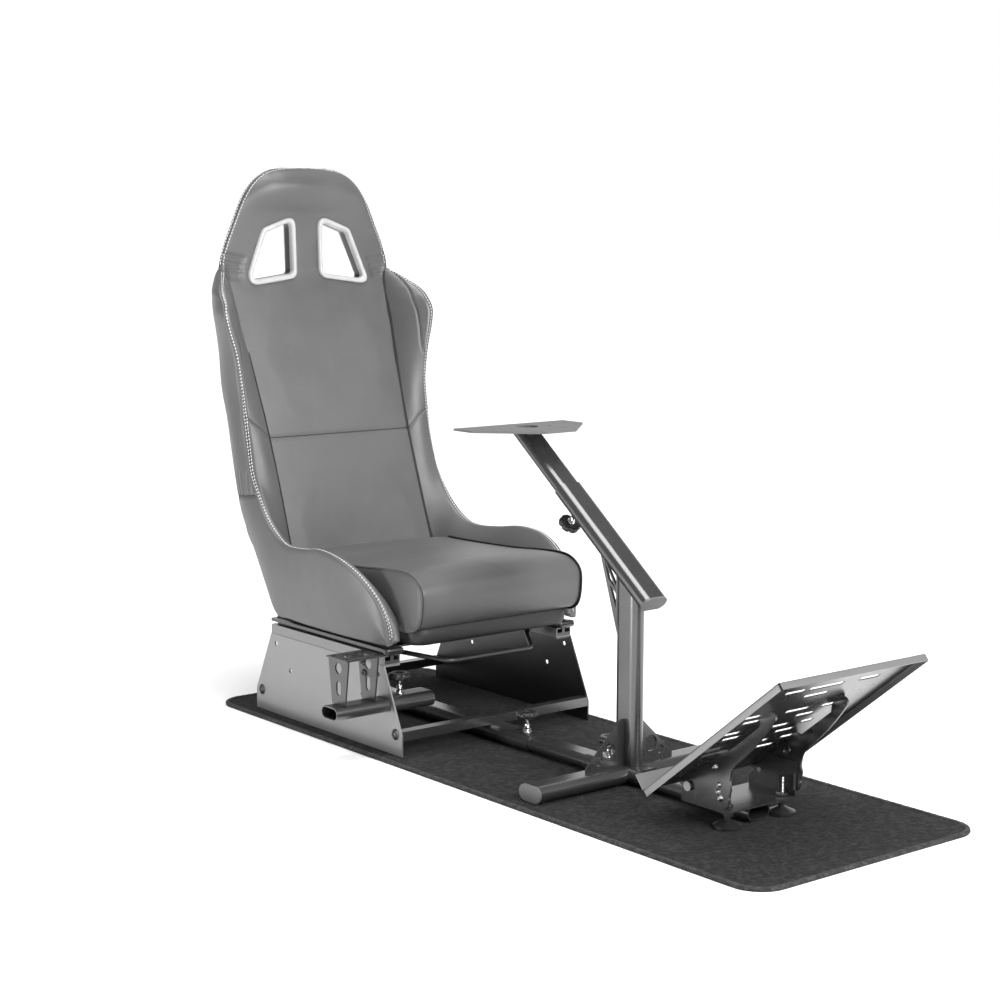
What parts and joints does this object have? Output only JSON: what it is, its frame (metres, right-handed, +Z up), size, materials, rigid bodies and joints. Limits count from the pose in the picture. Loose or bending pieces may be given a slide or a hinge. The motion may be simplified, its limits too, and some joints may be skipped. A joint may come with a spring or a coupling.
{
  "type": "sim racing cockpit",
  "caption": "Sim racing cockpit: bucket seat on slides over a carpet mat, with a telescoping spine, a wheel column, a slotted pedal tray and a shifter arm.",
  "frame": {"origin": "centre of the mat's underside, on the floor", "axes": "+Z up, +Y towards the seat back, -Y towards the pedals, -X the driver's right hand (the shifter side)"},
  "size_m": [0.589, 1.5652, 1.055],
  "materials": {
    "carpet_mat": "cut-pile carpet with a bound edge",
    "plate_paint": "satin grey powder coat",
    "tube_paint": "satin gunmetal paint",
    "bright_paint": "satin pale grey paint",
    "slide_steel": "zinc-plated slide steel",
    "slide_black": "black e-coat",
    "release_rod": "satin black rod",
    "seat_vinyl": "soft grained vinyl with pale double stitching",
    "bezel_silver": "silver-white moulded plastic",
    "knob_plastic": "black moulded plastic",
    "cap_plastic": "black push-in cap",
    "foot_chrome": "plated levelling screw",
    "bolt_steel": "zinc-plated bolt"
  },
  "bodies": {
    "base": {"floor_mat": "carpet_mat", "side_plate_right": "plate_paint", "side_plate_left": "plate_paint", "lower_rail_right": "slide_steel", "lower_rail_left": "slide_steel", "front_cross_bar": "tube_paint", "rear_cross_bar": "tube_paint", "spine_tube": "tube_paint", "spine_knob": "knob_plastic", "shifter_socket": "tube_paint", "socket_strap": "plate_paint", "shifter_knob": "knob_plastic"},
    "seat": {"upper_rail_right": "slide_black", "upper_rail_left": "slide_black", "seat_pan": "slide_black", "seat_back": "seat_vinyl", "seat_cushion": "seat_vinyl", "seat_wing_right": "seat_vinyl", "seat_wing_left": "seat_vinyl", "harness_bezel_right": "bezel_silver", "harness_bezel_left": "bezel_silver"},
    "release_bar": {"release_bar": "release_rod"},
    "pedal_frame": {"spine_slip_tube": "tube_paint", "pedal_channel": "tube_paint", "levelling_foot_right": "foot_chrome", "levelling_foot_left": "foot_chrome", "pivot_bolt_right": "bolt_steel", "pivot_bolt_left": "bolt_steel"},
    "column": {"column_sleeve": "tube_paint", "column_foot_right": "tube_paint", "column_foot_left": "tube_paint", "foot_cap_right": "cap_plastic", "foot_cap_left": "cap_plastic", "column_upright": "tube_paint", "side_gusset_right": "tube_paint", "side_gusset_left": "tube_paint", "truss_gusset": "tube_paint", "column_knob": "knob_plastic", "arm_cap": "cap_plastic", "arm_tube": "tube_paint", "arm_knob": "knob_plastic"},
    "wheel_arm": {"arm_slip_tube": "tube_paint", "wheel_plate": "bright_paint"},
    "pedal_tray": {"pedal_plate": "bright_paint", "pedal_bracket_right": "bright_paint", "pedal_bracket_left": "bright_paint"},
    "shifter": {"shifter_tube": "tube_paint", "shifter_leg_outer": "plate_paint", "shifter_leg_inner": "plate_paint", "shifter_plate": "plate_paint"}
  },
  "joints": [
    {"name": "seat_slide", "type": "slide", "parent": "base", "child": "seat", "axis": [0, 1, 0], "range_m": [-0.06, 0.06]},
    {"name": "release_lift", "type": "hinge", "parent": "seat", "child": "release_bar", "pos_m": [0, 0.273, 0.172], "axis": [-1, 0, 0], "range_deg": [0, 10], "stiffness_Nm_per_rad": 5, "springref_deg": -5.73},
    {"name": "pedal_reach", "type": "slide", "parent": "base", "child": "pedal_frame", "axis": [0, -1, 0], "range_m": [-0.08, 0.1]},
    {"name": "pedal_tilt", "type": "hinge", "parent": "pedal_frame", "child": "pedal_tray", "pos_m": [0, -0.426, 0.062], "axis": [-1, 0, 0], "range_deg": [-6, 6]},
    {"name": "column_reach", "type": "slide", "parent": "pedal_frame", "child": "column", "axis": [0, -1, 0], "range_m": [-0.05, 0.05]},
    {"name": "wheel_reach", "type": "slide", "parent": "column", "child": "wheel_arm", "axis": [0, 0.7923, 0.6101], "range_m": [-0.06, 0.07]},
    {"name": "shifter_reach", "type": "slide", "parent": "base", "child": "shifter", "axis": [-1, 0, 0], "range_m": [0, 0.06]}
  ]
}
